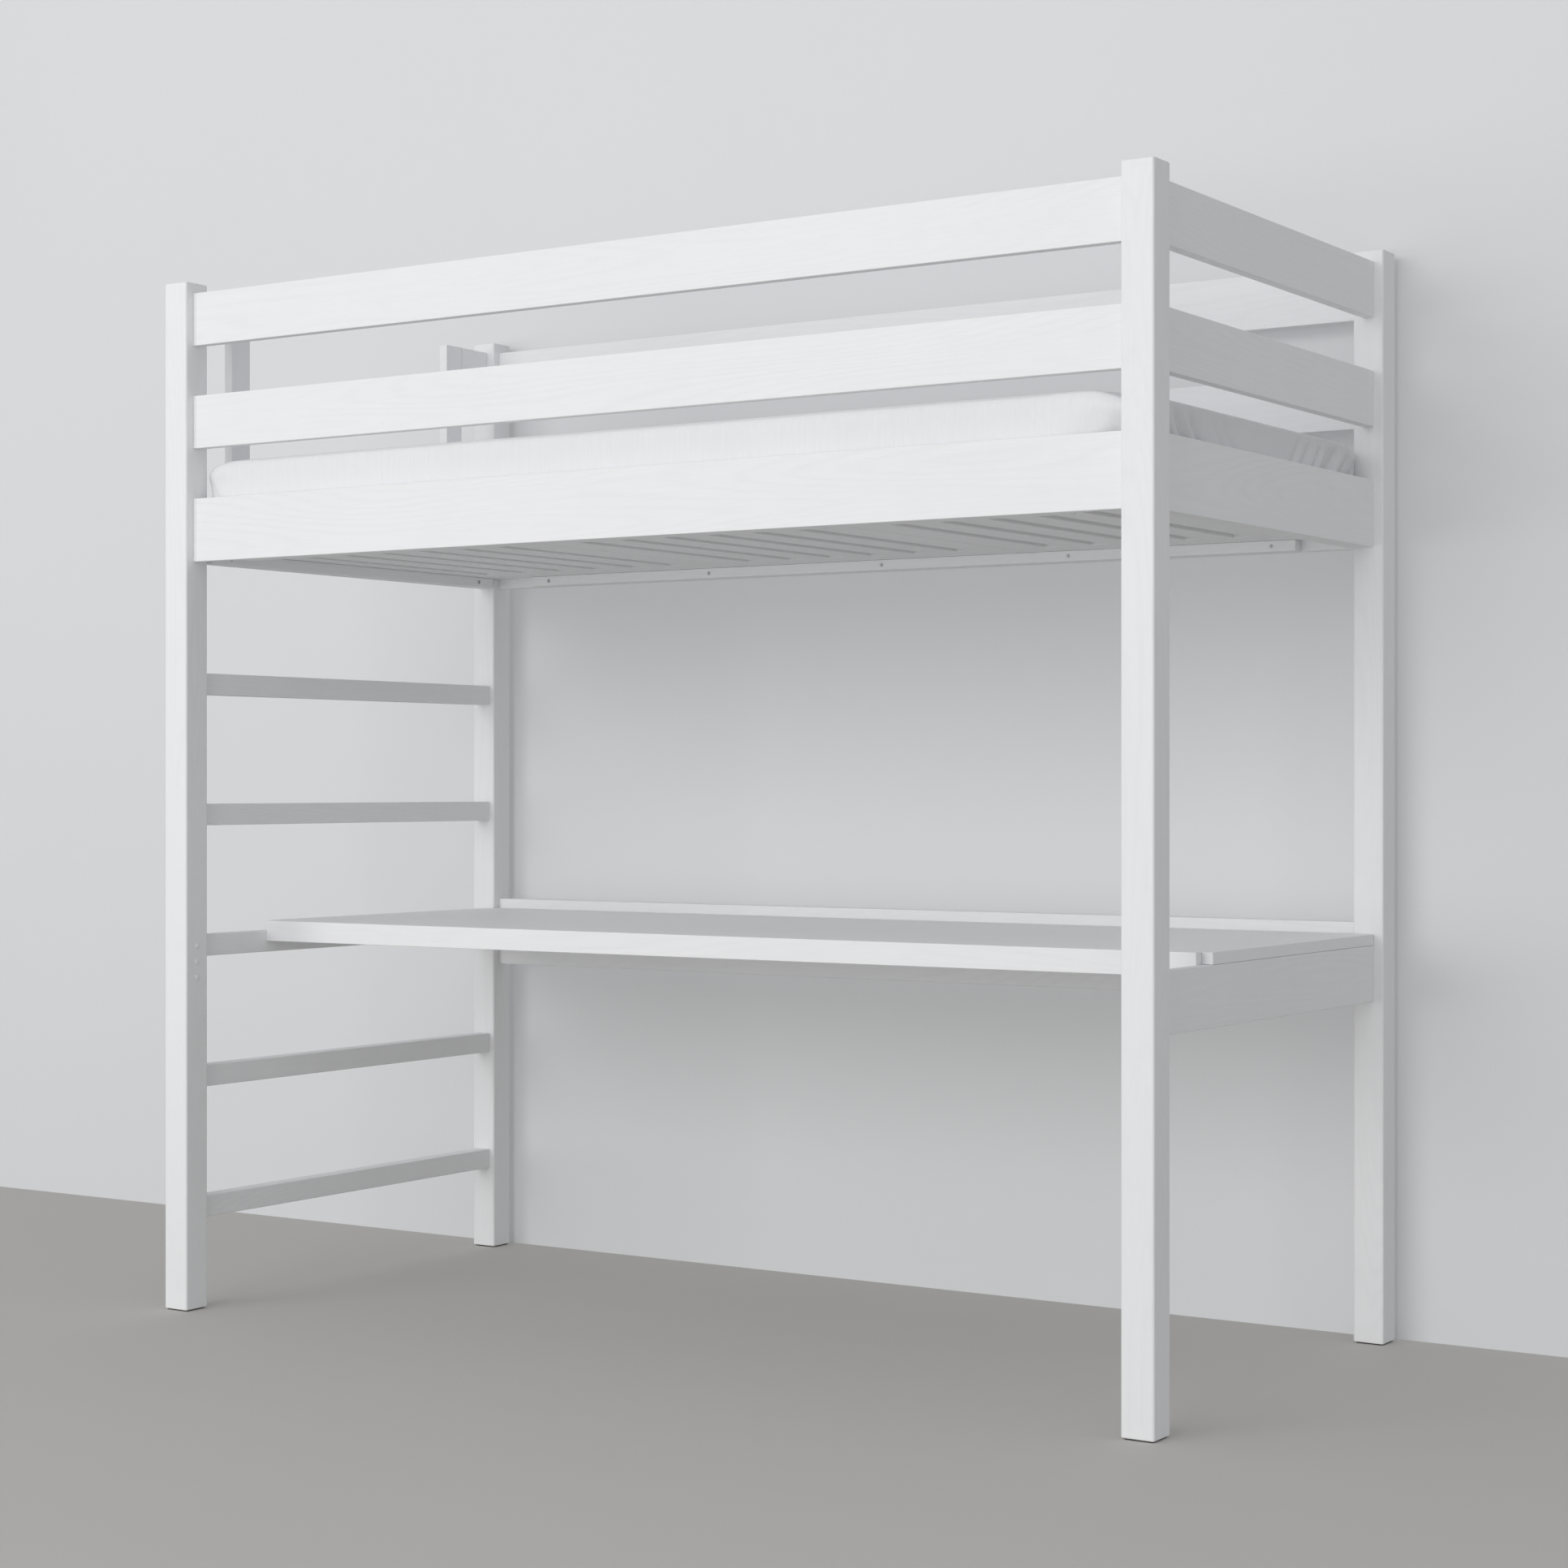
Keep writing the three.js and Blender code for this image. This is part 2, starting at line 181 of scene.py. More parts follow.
def startMaterial(name):
    material = bpy.data.materials.new(name)
    material.use_nodes = True
    tree = material.node_tree
    tree.nodes.clear()
    shader = tree.nodes.new("ShaderNodeBsdfPrincipled")
    output = tree.nodes.new("ShaderNodeOutputMaterial")
    tree.links.new(shader.outputs["BSDF"], output.inputs["Surface"])
    return material, tree, shader


def bumpFrom(tree, shader, height, strength, distance):
    bump = addNode(tree, "ShaderNodeBump")
    bump.inputs["Strength"].default_value = strength
    bump.inputs["Distance"].default_value = distance
    tree.links.new(height, bump.inputs["Height"])
    tree.links.new(bump.outputs["Normal"], shader.inputs["Normal"])


def lightStudio():
    world = bpy.data.worlds.new("studioLight")
    bpy.context.scene.world = world
    world.use_nodes = True
    tree = world.node_tree
    tree.nodes.clear()
    fill = addNode(tree, "ShaderNodeBackground")
    seen = addNode(tree, "ShaderNodeBackground")
    direction = addNode(tree, "ShaderNodeSeparateXYZ")
    tree.links.new(addNode(tree, "ShaderNodeTexCoord").outputs["Generated"], direction.inputs[0])
    rear = spread(tree, direction.outputs["Y"], -1.0, 1.0)
    tree.links.new(mixColours(tree, rear, (*studio["fillFront"], 1), (*studio["fillRear"], 1)),
                   fill.inputs["Color"])
    rise = spread(tree, direction.outputs["Z"], -0.02, 0.32)
    tree.links.new(mixColours(tree, rise, (*studio["surroundLow"], 1), (*studio["surroundHigh"], 1)),
                   seen.inputs["Color"])
    path = addNode(tree, "ShaderNodeLightPath")
    chooser = addNode(tree, "ShaderNodeMixShader")
    output = addNode(tree, "ShaderNodeOutputWorld")
    tree.links.new(path.outputs["Is Camera Ray"], chooser.inputs[0])
    tree.links.new(fill.outputs[0], chooser.inputs[1])
    tree.links.new(seen.outputs[0], chooser.inputs[2])
    tree.links.new(chooser.outputs[0], output.inputs["Surface"])

    for name in ("key", "rear"):
        lamp = bpy.data.lights.new(name + "Light", "AREA")
        lamp.shape = "RECTANGLE"
        lamp.size, lamp.size_y = studio[name + "Size"]
        lamp.energy = studio[name + "Watts"]
        lamp.color = studio["lampColour"]
        light = bpy.data.objects.new(name + "Light", lamp)
        turn, height = radians(studio[name + "Turn"]), radians(studio[name + "Height"])
        towards = Vector((np.sin(turn) * np.cos(height), -np.cos(turn) * np.cos(height),
                          np.sin(height)))
        light.location = Vector((0, 0, studio["aimHeight"])) + towards * studio["lampDistance"]
        light.rotation_euler = towards.to_track_quat("Z", "Y").to_euler()
        bpy.context.scene.collection.objects.link(light)
    bpy.context.scene.view_settings.view_transform = "Standard"


def layFloor():
    mesh = bpy.data.meshes.new("studioFloor")
    shape = bmesh.new()
    bmesh.ops.create_circle(shape, cap_ends=True, radius=studio["floorRadius"], segments=96)
    shape.to_mesh(mesh)
    shape.free()
    floor = bpy.data.objects.new("studioFloor", mesh)
    bpy.context.scene.collection.objects.link(floor)

    material, tree, shader = startMaterial("studioFloor")
    place = addNode(tree, "ShaderNodeTexCoord").outputs["Object"]
    speckle = cloudy(tree, place, 240, 3, 0.6)
    patches = cloudy(tree, place, 1.3, 2, 0.5)
    tone = maths(tree, "ADD", maths(tree, "MULTIPLY", speckle, 0.3), maths(tree, "MULTIPLY", patches, 0.7))
    darker = tuple(c * 0.97 for c in studio["floorColour"])
    colour = mixColours(tree, tone, (*studio["floorColour"], 1), (*darker, 1))
    tree.links.new(colour, shader.inputs["Base Color"])
    shader.inputs["Roughness"].default_value = 0.85
    shader.inputs["Specular IOR Level"].default_value = 0.2
    away = vectorMaths(tree, "LENGTH", place)
    fade = spread(tree, away, studio["floorSolid"], studio["floorRadius"] * 0.95, 1.0, 0.0)
    above = maths(tree, "SUBTRACT", 1.0, addNode(tree, "ShaderNodeNewGeometry").outputs["Backfacing"])
    tree.links.new(maths(tree, "MULTIPLY", fade, above), shader.inputs["Alpha"])
    mesh.materials.append(material)


def hangBackdrop():
    # a pale wall that shows from the room side only and puts no light or shadow on the bed
    width, height = studio["wallSize"]
    distance = cadBox[1][1] + studio["wallGap"]
    mesh = bpy.data.meshes.new("paleWall")
    mesh.from_pydata([(-width / 2, distance, 0), (width / 2, distance, 0),
                      (width / 2, distance, height), (-width / 2, distance, height)], [], [(0, 1, 2, 3)])
    wall = bpy.data.objects.new("paleWall", mesh)
    bpy.context.scene.collection.objects.link(wall)
    wall.visible_diffuse = wall.visible_glossy = wall.visible_shadow = False

    material, tree, shader = startMaterial("paleWall")
    place = addNode(tree, "ShaderNodeTexCoord").outputs["Object"]
    roller = cloudy(tree, place, 150, 3, 0.6)
    broad = cloudy(tree, place, 1.1, 2, 0.5)
    darker = tuple(c * 0.975 for c in studio["wallColour"])
    tree.links.new(mixColours(tree, broad, (*studio["wallColour"], 1), (*darker, 1)),
                   shader.inputs["Base Color"])
    shader.inputs["Roughness"].default_value = 0.9
    shader.inputs["Specular IOR Level"].default_value = 0.15
    shader.inputs["Emission Color"].default_value = (1, 1, 1, 1)
    shader.inputs["Emission Strength"].default_value = studio["wallGlow"]
    bumpFrom(tree, shader, roller, 0.2, 0.0006)
    spot = addNode(tree, "ShaderNodeSeparateXYZ")
    tree.links.new(place, spot.inputs[0])
    solidX, solidZ = studio["wallSolid"]
    fadeX = spread(tree, maths(tree, "ABSOLUTE", spot.outputs["X"]), solidX, width / 2, 1.0, 0.0)
    fadeZ = spread(tree, spot.outputs["Z"], solidZ, height, 1.0, 0.0)
    front = maths(tree, "SUBTRACT", 1.0, addNode(tree, "ShaderNodeNewGeometry").outputs["Backfacing"])
    shown = maths(tree, "MULTIPLY", maths(tree, "MULTIPLY", fadeX, fadeZ), front)
    tree.links.new(shown, shader.inputs["Alpha"])
    mesh.materials.append(material)


placeCamera()
lightStudio()
layFloor()
hangBackdrop()
print("camera, light and floor placed")


# shared surface effects

floatSocket, vectorSocket = "NodeSocketFloat", "NodeSocketVector"


def buildPineGrain():
    # Vector runs in metres with X along the board
    tree, given, result = startGroup(
        "pineGrain",
        [("Vector", vectorSocket, None), ("Rings", floatSocket, 36.0), ("Patchiness", floatSocket, 0.5)],
        [("Rings", floatSocket), ("Fibres", floatSocket), ("Height", floatSocket)])
    place = given["Vector"]
    wander = cloudy(tree, vectorMaths(tree, "MULTIPLY", place, (2.2, 26, 26)), 1, 1, 0.5)
    growth = cloudy(tree, vectorMaths(tree, "MULTIPLY", place, (0.75, 7.5, 7.5)), 1, 1, 0.35)
    growth = maths(tree, "ADD", growth, maths(tree, "MULTIPLY", wander, 0.022))
    turns = maths(tree, "MULTIPLY", growth, maths(tree, "MULTIPLY", given["Rings"], 2 * pi))
    wave = maths(tree, "MULTIPLY_ADD", maths(tree, "SINE", turns), 0.5, 0.5)
    late = maths(tree, "POWER", wave, 2.4)
    patch = cloudy(tree, vectorMaths(tree, "MULTIPLY", place, (1.7, 11, 11)), 1, 2, 0.5)
    patch = spread(tree, patch, 0.34, 0.62)
    shown = maths(tree, "MULTIPLY_ADD", patch, given["Patchiness"],
                  maths(tree, "SUBTRACT", 1.0, given["Patchiness"]))
    rings = maths(tree, "MULTIPLY", late, shown)
    longFibre = cloudy(tree, vectorMaths(tree, "MULTIPLY", place, (9, 330, 330)), 1, 3, 0.62)
    shortFibre = cloudy(tree, vectorMaths(tree, "MULTIPLY", place, (34, 760, 760)), 1, 2, 0.55)
    fibres = maths(tree, "ADD", maths(tree, "MULTIPLY", spread(tree, longFibre, 0.32, 0.68), 0.65),
                   maths(tree, "MULTIPLY", spread(tree, shortFibre, 0.35, 0.66), 0.35))
    height = maths(tree, "SUBTRACT", maths(tree, "MULTIPLY", rings, 0.55),
                   maths(tree, "MULTIPLY", fibres, 0.45))
    tree.links.new(rings, result["Rings"])
    tree.links.new(fibres, result["Fibres"])
    tree.links.new(height, result["Height"])
    return tree


def buildEdgeRub():
    # how near a point is to the edges of the board it is on
    tree, given, result = startGroup(
        "edgeRub",
        [("Vector", vectorSocket, None), ("Centre", vectorSocket, None),
         ("Half Size", vectorSocket, None), ("Width", floatSocket, 0.004)],
        [("Mask", floatSocket)])
    away = vectorMaths(tree, "ABSOLUTE", vectorMaths(tree, "SUBTRACT", given["Vector"], given["Centre"]))
    depth = addNode(tree, "ShaderNodeSeparateXYZ")
    tree.links.new(vectorMaths(tree, "SUBTRACT", given["Half Size"], away), depth.inputs[0])
    x, y, z = depth.outputs
    least = maths(tree, "MINIMUM", maths(tree, "MINIMUM", x, y), z)
    most = maths(tree, "MAXIMUM", maths(tree, "MAXIMUM", x, y), z)
    total = maths(tree, "ADD", maths(tree, "ADD", x, y), z)
    toEdge = maths(tree, "SUBTRACT", maths(tree, "SUBTRACT", total, least), most)
    ragged = cloudy(tree, given["Vector"], 55, 4, 0.65)
    reach = maths(tree, "MULTIPLY", given["Width"], maths(tree, "MULTIPLY", ragged, 2.2))
    mask = spread(tree, maths(tree, "DIVIDE", toEdge, reach), 0.15, 1.0, 1.0, 0.0)
    broken = spread(tree, cloudy(tree, given["Vector"], 13, 2, 0.6), 0.42, 0.62)
    tree.links.new(maths(tree, "MULTIPLY", mask, broken), result["Mask"])
    return tree


def buildPaintFilm():
    # slow changes of tone over a coat of paint, and its fine stipple
    tree, given, result = startGroup(
        "paintFilm", [("Vector", vectorSocket, None), ("Stipple", floatSocket, 620.0)],
        [("Tone", floatSocket), ("Height", floatSocket)])
    broad = cloudy(tree, given["Vector"], 2.6, 2, 0.5)
    hand = cloudy(tree, given["Vector"], 17, 3, 0.55)
    tone = maths(tree, "ADD", maths(tree, "MULTIPLY", broad, 0.65), maths(tree, "MULTIPLY", hand, 0.35))
    tree.links.new(tone, result["Tone"])
    tree.links.new(cloudy(tree, given["Vector"], given["Stipple"], 2, 0.5), result["Height"])
    return tree


pineGrain = buildPineGrain()
edgeRub = buildEdgeRub()
paintFilm = buildPaintFilm()


# painted timber

whitePaint = {
    "colour": (0.868, 0.873, 0.884),
    "grainTone": 0.962,       # how dark the paint looks in the grain
    "rubbedColour": (0.80, 0.775, 0.73),
    "rubbedShare": 0.10,
    "rubbedWidth": 0.0035,
    "roughness": 0.46,
    "grainRoughness": 0.12,
    "grainStrength": 0.55,
    "grainDepth": 0.00035,
    "stippleStrength": 0.12,
    "toneChange": 0.010,
}

alongAxis = {"x": (0, 0, 0), "y": (0, 0, radians(-90)), "z": (0, radians(90), 0)}  # turns the grain to X

timberPieces = {
    # start of the name: (grain direction, rings, patchiness)
    "post_": ("z", 40, 0.75),
    "side_rail_front": ("x", 34, 0.7),
    "side_rail_rear": ("x", 34, 0.7),
    "side_rail_": ("y", 34, 0.6),
    "guard_rail_middle_right": ("y", 36, 0.6),
    "guard_rail_top_right": ("y", 36, 0.6),
    "guard_rail_": ("x", 34, 0.7),
    "rung_": ("y", 40, 0.7),
    "entry_board_": ("z", 36, 0.7),
    "entry_top_rail_": ("y", 36, 0.7),
    "desk_top": ("x", 30, 0.6),
    "desk_lip": ("x", 34, 0.7),
    "desk_end_board": ("y", 34, 0.5),
    "desk_back_rail": ("x", 34, 0.7),
    "cleat_front": ("x", 40, 0.7),
    "cleat_rear": ("x", 40, 0.7),
    "cleat_": ("y", 40, 0.7),
    "slat_panel_": ("y", 32, 0.6),
}


def paintTimber(name, grainAxis, rings, patchiness, number):
    look = whitePaint
    material, tree, shader = startMaterial("whitePaint_" + name)
    place = addNode(tree, "ShaderNodeTexCoord").outputs["Object"]
    turned = addNode(tree, "ShaderNodeMapping")
    turned.inputs["Rotation"].default_value = alongAxis[grainAxis]
    turned.inputs["Location"].default_value = (number * 3.17, number * 1.31, number * 0.73)
    tree.links.new(place, turned.inputs["Vector"])
    along = turned.outputs["Vector"]
    grain = useGroup(tree, pineGrain, Vector=along, Rings=rings, Patchiness=patchiness)
    film = useGroup(tree, paintFilm, Vector=along)
    low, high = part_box(name)
    rubbed = useGroup(tree, edgeRub, **{
        "Vector": place, "Centre": (low + high) / 2, "Half Size": (high - low) / 2,
        "Width": look["rubbedWidth"]})["Mask"]

    dull = tuple(c * look["grainTone"] for c in look["colour"])
    marks = maths(tree, "MULTIPLY_ADD", grain["Rings"], 0.5, maths(tree, "MULTIPLY", grain["Fibres"], 0.5))
    painted = mixColours(tree, marks, (*look["colour"], 1), (*dull, 1))
    change = spread(tree, film["Tone"], 0.3, 0.7, 1 - look["toneChange"], 1 + look["toneChange"])
    painted = vectorMaths(tree, "MULTIPLY", painted, change)
    worn = maths(tree, "MULTIPLY", rubbed, look["rubbedShare"])
    colour = mixColours(tree, worn, painted, (*look["rubbedColour"], 1))
    tree.links.new(colour, shader.inputs["Base Color"])

    shine = maths(tree, "MULTIPLY_ADD", grain["Fibres"], look["grainRoughness"], look["roughness"])
    shine = maths(tree, "MULTIPLY_ADD", film["Tone"], 0.08, shine)
    tree.links.new(shine, shader.inputs["Roughness"])
    shader.inputs["Specular IOR Level"].default_value = 0.42
    height = maths(tree, "MULTIPLY_ADD", film["Height"], look["stippleStrength"], grain["Height"])
    bumpFrom(tree, shader, height, look["grainStrength"], look["grainDepth"])
    return material


sharpAngle = 38          # degrees: an edge that turns more than this stays crisp
mergeDistance = 0.00002


def buildSoftEdges():
    # joins the faces of a piece and shades it smooth across edges under the given angle
    tree = bpy.data.node_groups.new("softEdges", "GeometryNodeTree")
    tree.interface.new_socket(name="Geometry", in_out="INPUT", socket_type="NodeSocketGeometry")
    tree.interface.new_socket(name="Geometry", in_out="OUTPUT", socket_type="NodeSocketGeometry")
    given = addNode(tree, "NodeGroupInput").outputs[0]
    result = addNode(tree, "NodeGroupOutput").inputs[0]
    merged = addNode(tree, "GeometryNodeMergeByDistance")
    merged.inputs["Distance"].default_value = mergeDistance
    cleared = addNode(tree, "GeometryNodeRemoveAttribute")
    cleared.inputs["Name"].default_value = "custom_normal"
    smooth = addNode(tree, "GeometryNodeSetShadeSmooth", domain="FACE")
    angle = addNode(tree, "GeometryNodeInputMeshEdgeAngle")
    sharp = addNode(tree, "FunctionNodeCompare", operation="GREATER_THAN")
    sharp.inputs["B"].default_value = radians(sharpAngle)
    crisp = addNode(tree, "GeometryNodeSetShadeSmooth", domain="EDGE")
    crisp.inputs["Shade Smooth"].default_value = False
    tree.links.new(given, merged.inputs["Geometry"])
    tree.links.new(merged.outputs["Geometry"], cleared.inputs["Geometry"])
    tree.links.new(cleared.outputs["Geometry"], smooth.inputs["Geometry"])
    tree.links.new(smooth.outputs["Geometry"], crisp.inputs["Geometry"])
    tree.links.new(angle.outputs["Unsigned Angle"], sharp.inputs["A"])
    tree.links.new(sharp.outputs["Result"], crisp.inputs["Selection"])
    tree.links.new(crisp.outputs["Geometry"], result)
    return tree


softEdges = buildSoftEdges()


def softenEdges(piece):
    piece.modifiers.new("softEdges", "NODES").node_group = softEdges
    weighted = piece.modifiers.new("evenShading", "WEIGHTED_NORMAL")
    weighted.keep_sharp = True


def finishTimber():
    number = 0
    for name in sorted(nodes):
        kinds = [start for start in timberPieces if name.startswith(start)]
        if not kinds or name.startswith("cleat_screw"):
            continue
        grainAxis, rings, patchiness = timberPieces[kinds[0]]
        number += 1
        nodes[name].data.materials.clear()
        nodes[name].data.materials.append(paintTimber(name, grainAxis, rings, patchiness, number))
        softenEdges(nodes[name])
    print("timber painted:", number, "pieces")


finishTimber()


# screws, caps and foot pads

fittings = {
    "steel": (0.60, 0.61, 0.63),
    "steelRoughness": 0.34,
    "cap": (0.86, 0.865, 0.875),
    "capRoughness": 0.36,
    "pad": (0.022, 0.021, 0.020),
    "padRoughness": 0.9,
}


def screwSteel():
    material, tree, shader = startMaterial("zincScrew")
    place = addNode(tree, "ShaderNodeTexCoord").outputs["Object"]
    brushed = cloudy(tree, vectorMaths(tree, "MULTIPLY", place, (2600, 2600, 5200)), 1, 3, 0.6)
    spots = cloudy(tree, place, 900, 3, 0.6)
    dull = tuple(c * 0.72 for c in fittings["steel"])
    tree.links.new(mixColours(tree, spots, (*fittings["steel"], 1), (*dull, 1)), shader.inputs["Base Color"])
    shader.inputs["Metallic"].default_value = 1.0
    tree.links.new(maths(tree, "MULTIPLY_ADD", brushed, 0.2, fittings["steelRoughness"]),
                   shader.inputs["Roughness"])
    bumpFrom(tree, shader, brushed, 0.3, 0.00005)
    return material


def capPlastic():
    material, tree, shader = startMaterial("capPlastic")
    place = addNode(tree, "ShaderNodeTexCoord").outputs["Object"]
    film = useGroup(tree, paintFilm, Vector=place, Stipple=1400.0)
    dull = tuple(c * 0.97 for c in fittings["cap"])
    tree.links.new(mixColours(tree, film["Tone"], (*fittings["cap"], 1), (*dull, 1)),
                   shader.inputs["Base Color"])
    tree.links.new(maths(tree, "MULTIPLY_ADD", film["Height"], 0.1, fittings["capRoughness"]),
                   shader.inputs["Roughness"])
    shader.inputs["Specular IOR Level"].default_value = 0.5
    bumpFrom(tree, shader, film["Height"], 0.15, 0.00008)
    return material


def padRubber():
    material, tree, shader = startMaterial("padRubber")
    place = addNode(tree, "ShaderNodeTexCoord").outputs["Object"]
    crumbs = cloudy(tree, place, 1100, 4, 0.65)
    dusty = tuple(c * 2.6 for c in fittings["pad"])
    tree.links.new(mixColours(tree, spread(tree, crumbs, 0.4, 0.75), (*fittings["pad"], 1), (*dusty, 1)),
                   shader.inputs["Base Color"])
    tree.links.new(maths(tree, "MULTIPLY_ADD", crumbs, -0.15, fittings["padRoughness"]),
                   shader.inputs["Roughness"])
    bumpFrom(tree, shader, crumbs, 0.5, 0.0002)
    return material


def finishFittings():
    finishes = {"cleat_screw_": screwSteel(), "cover_cap_": capPlastic(), "foot_pad_": padRubber()}
    for name in sorted(nodes):
        for start, material in finishes.items():
            if name.startswith(start):
                nodes[name].data.materials.clear()
                nodes[name].data.materials.append(material)
                softenEdges(nodes[name])
    print("screws, caps and pads finished")


finishFittings()


# mattress in its fitted sheet

sheetLook = {
    "colour": (0.855, 0.861, 0.876),
    "shaded": 0.94,           # between the ribs of the knit
    "paintedEndShade": 0.90,         # painted shade: the short sides are drawn darker than the rest
    "ribPitch": 0.0021,
    "rowPitch": 0.0016,
    "roughness": 0.88,
    "sheen": 0.06,
    "hemWidth": 0.085,        # the sheet is turned under the pad this far
    "ticking": (0.79, 0.78, 0.755),
    "tickingStripe": (0.62, 0.635, 0.665),
    "stripePitch": 0.024,
}


def buildJerseyKnit():
    # Vector in metres: X across the ribs, Y along them
    tree, given, result = startGroup(
        "jerseyKnit",
        [("Vector", vectorSocket, None), ("Rib Pitch", floatSocket, 0.002),
         ("Row Pitch", floatSocket, 0.0016)],
        [("Knit", floatSocket), ("Streaks", floatSocket)])
    place = given["Vector"]
    sway = cloudy(tree, vectorMaths(tree, "MULTIPLY", place, (30, 6, 30)), 1, 2, 0.5)
    spot = addNode(tree, "ShaderNodeSeparateXYZ")
    tree.links.new(place, spot.inputs[0])
    across = maths(tree, "MULTIPLY_ADD", sway, 0.004, spot.outputs["X"])
    ribTurn = maths(tree, "MULTIPLY", maths(tree, "DIVIDE", across, given["Rib Pitch"]), 2 * pi)
    rib = maths(tree, "MULTIPLY_ADD", maths(tree, "SINE", ribTurn), 0.5, 0.5)
    rowTurn = maths(tree, "MULTIPLY", maths(tree, "DIVIDE", spot.outputs["Y"], given["Row Pitch"]), 2 * pi)
    row = maths(tree, "SINE", maths(tree, "ADD", rowTurn, maths(tree, "MULTIPLY", rib, 2.4)))
    knit = maths(tree, "MULTIPLY_ADD", row, 0.18, rib)
    wide = cloudy(tree, vectorMaths(tree, "MULTIPLY", place, (170, 7, 170)), 1, 3, 0.65)
    fine = cloudy(tree, vectorMaths(tree, "MULTIPLY", place, (520, 16, 520)), 1, 2, 0.6)
    streaks = maths(tree, "ADD", maths(tree, "MULTIPLY", spread(tree, wide, 0.3, 0.7), 0.6),
                    maths(tree, "MULTIPLY", spread(tree, fine, 0.32, 0.68), 0.4))
    tree.links.new(knit, result["Knit"])
    tree.links.new(streaks, result["Streaks"])
    return tree


def sheetCotton():
    look = sheetLook
    jerseyKnit = buildJerseyKnit()
    material, tree, shader = startMaterial("fittedSheet")
    coordinates = addNode(tree, "ShaderNodeTexCoord")
    place = coordinates.outputs["Object"]
    facing = addNode(tree, "ShaderNodeSeparateXYZ")
    tree.links.new(coordinates.outputs["Normal"], facing.inputs[0])
    # ribs run down the long sides and across the top; on the short sides they run down as well
    onEnd = spread(tree, maths(tree, "ABSOLUTE", facing.outputs["X"]), 0.62, 0.78)
    onTop = spread(tree, maths(tree, "ABSOLUTE", facing.outputs["Z"]), 0.62, 0.78)
    spot = addNode(tree, "ShaderNodeSeparateXYZ")
    tree.links.new(place, spot.inputs[0])
    flat = mixColours(tree, onTop, spot.outputs["Z"], spot.outputs["Y"])
    runs = []
    for across, along in ((spot.outputs["X"], flat), (spot.outputs["Y"], spot.outputs["Z"])):
        joined = addNode(tree, "ShaderNodeCombineXYZ")
        tree.links.new(across, joined.inputs["X"])
        tree.links.new(along, joined.inputs["Y"])
        runs.append(joined.outputs[0])
    knits = [useGroup(tree, jerseyKnit, **{"Vector": run, "Rib Pitch": look["ribPitch"],
                                           "Row Pitch": look["rowPitch"]}) for run in runs]
    knit = mixColours(tree, onEnd, knits[0]["Knit"], knits[1]["Knit"])
    streaks = mixColours(tree, onEnd, knits[0]["Streaks"], knits[1]["Streaks"])

    film = useGroup(tree, paintFilm, Vector=place, Stipple=900.0)
    shaded = tuple(c * look["shaded"] for c in look["colour"])
    share = maths(tree, "MULTIPLY_ADD", streaks, 0.65, 0.35)
    share = maths(tree, "MULTIPLY_ADD", knit, -0.35, share, clamp=True)
    woven = mixColours(tree, share, (*look["colour"], 1), (*shaded, 1))
    # the tone changes at random, and the short sides get painted shade, drawn darker
    change = maths(tree, "MULTIPLY", spread(tree, film["Tone"], 0.3, 0.7, 0.988, 1.012),
                   maths(tree, "MULTIPLY_ADD", onEnd, look["paintedEndShade"] - 1, 1.0))
    # inside the hem the pad's own striped ticking shows on the underside
    halfX, halfY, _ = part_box("mattress")[1]
    gaps = [maths(tree, "SUBTRACT", size, maths(tree, "ABSOLUTE", spot.outputs[axis]))
            for size, axis in ((halfX, "X"), (halfY, "Y"))]
    under = spread(tree, facing.outputs["Z"], -0.9, -0.7, 1.0, 0.0)
    pastHem = spread(tree, maths(tree, "MINIMUM", *gaps), look["hemWidth"] - 0.001, look["hemWidth"] + 0.002)
    turn = maths(tree, "MULTIPLY", spot.outputs["Y"], 2 * pi / look["stripePitch"])
    stripe = spread(tree, maths(tree, "SINE", turn), 0.78, 0.86)
    ticking = mixColours(tree, stripe, (*look["ticking"], 1), (*look["tickingStripe"], 1))
    sheet = vectorMaths(tree, "MULTIPLY", woven, change)
    covered = mixColours(tree, maths(tree, "MULTIPLY", under, pastHem), sheet, ticking)
    tree.links.new(covered, shader.inputs["Base Color"])
    tree.links.new(maths(tree, "MULTIPLY_ADD", streaks, 0.08, look["roughness"]), shader.inputs["Roughness"])
    shader.inputs["Sheen Weight"].default_value = look["sheen"]
    shader.inputs["Sheen Roughness"].default_value = 0.45
    shader.inputs["Specular IOR Level"].default_value = 0.25
    height = maths(tree, "MULTIPLY_ADD", streaks, -0.8, maths(tree, "MULTIPLY", knit, 0.35))
    height = maths(tree, "MULTIPLY_ADD", film["Height"], 0.15, height)
    bumpFrom(tree, shader, height, 0.5, 0.0006)
    return material


